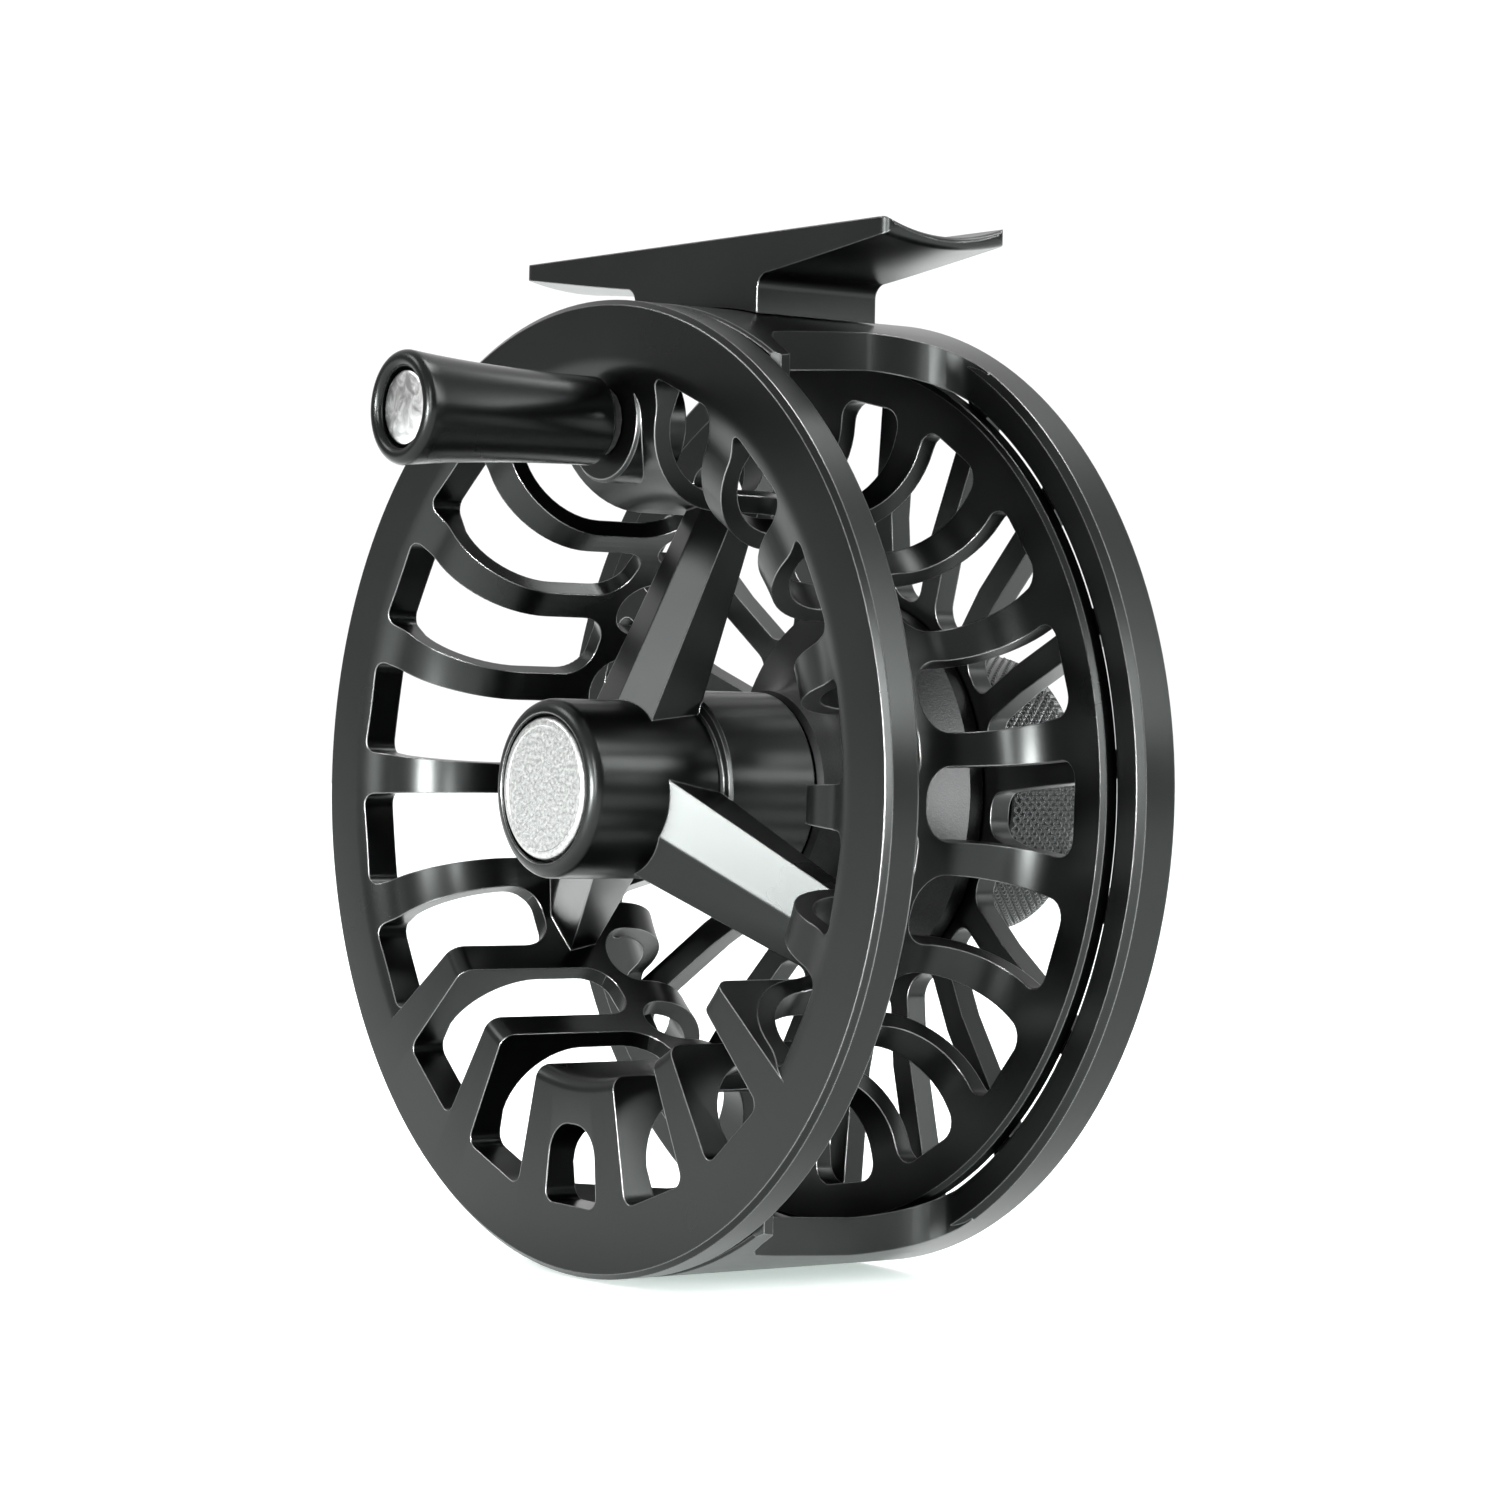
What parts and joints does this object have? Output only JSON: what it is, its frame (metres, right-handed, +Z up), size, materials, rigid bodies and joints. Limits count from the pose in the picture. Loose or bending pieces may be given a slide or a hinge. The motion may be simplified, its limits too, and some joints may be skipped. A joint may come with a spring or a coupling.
{
  "type": "fly reel",
  "caption": "Large-arbor fly fishing reel with a ventilated spool, crank handle, caged frame, disc drag and reel foot.",
  "frame": {"origin": "middle of the foot's saddle, on its valley line, where the rod's reel seat presses", "axes": "+X along the foot, which is along the rod; +Y from the crank side to the drag knob, along the spool's axis; +Z up, from the spool to the rod"},
  "size_m": [0.1, 0.0784, 0.107],
  "materials": {
    "black_anodised": "satin black anodised",
    "blasted_aluminium": "bead blasted",
    "stainless_steel": "turned",
    "brass": "turned",
    "carbon_disc": "woven carbon fibre",
    "seal_rubber": "smooth",
    "gloss_black": "polished",
    "acetal_bushing": "machined"
  },
  "bodies": {
    "frame": {"frame": "black_anodised", "reel_foot": "black_anodised", "foot_screw_1": "stainless_steel", "foot_screw_2": "stainless_steel", "drag_housing": "blasted_aluminium", "housing_screw_1": "stainless_steel", "housing_screw_2": "stainless_steel", "housing_screw_3": "stainless_steel", "drag_seal": "seal_rubber", "drag_bearing": "stainless_steel", "drag_cover": "blasted_aluminium", "spindle": "stainless_steel", "spindle_clip": "stainless_steel", "carbon_disc_1": "carbon_disc", "carbon_disc_2": "carbon_disc", "carbon_disc_3": "carbon_disc", "carbon_disc_4": "carbon_disc", "stator_disc": "stainless_steel", "knob_nut": "stainless_steel"},
    "spool": {"spool": "black_anodised", "hub_cap": "blasted_aluminium", "front_bearing": "stainless_steel", "rear_bearing": "stainless_steel", "bearing_spacer": "brass", "one_way_clutch": "stainless_steel", "handle_screw": "stainless_steel", "handle_washer": "seal_rubber"},
    "handle": {"handle_knob": "gloss_black", "handle_bushing_inner": "acetal_bushing", "handle_bushing_outer": "acetal_bushing"},
    "drag_rotor": {"drag_hub": "brass", "rotor_disc_1": "stainless_steel", "rotor_disc_2": "stainless_steel"},
    "pressure_set": {"pressure_plate": "stainless_steel", "spring_washer_1": "stainless_steel", "spring_washer_2": "stainless_steel", "push_pin_1": "stainless_steel", "push_pin_2": "stainless_steel", "push_pin_3": "stainless_steel", "drag_nut": "brass"},
    "drag_knob": {"drag_knob": "black_anodised", "knob_cap": "black_anodised", "detent_ball": "stainless_steel", "detent_spring": "stainless_steel"}
  },
  "joints": [
    {"name": "spool_spin", "type": "hinge", "parent": "frame", "child": "spool", "pos_m": [0, -0.0206, -0.0557], "axis": [0, -1, 0], "continuous": true},
    {"name": "handle_spin", "type": "hinge", "parent": "spool", "child": "handle", "pos_m": [0.00085, -0.0206, -0.01811], "axis": [0, -1, 0], "continuous": true},
    {"name": "drag_rotor_spin", "type": "hinge", "parent": "frame", "child": "drag_rotor", "pos_m": [0, 0, -0.0557], "axis": [0, -1, 0], "continuous": true},
    {"name": "drag_knob_turn", "type": "hinge", "parent": "frame", "child": "drag_knob", "pos_m": [0, 0.0274, -0.0557], "axis": [0, -1, 0], "range_deg": [0, 288]},
    {"name": "pressure_slide", "type": "slide", "parent": "frame", "child": "pressure_set", "axis": [0, -1, 0], "range_m": [0, 0.0006]}
  ],
  "couplings": [
    {"joint": "pressure_slide", "follows": "drag_knob_turn", "m_per_rad": 0.000119}
  ]
}
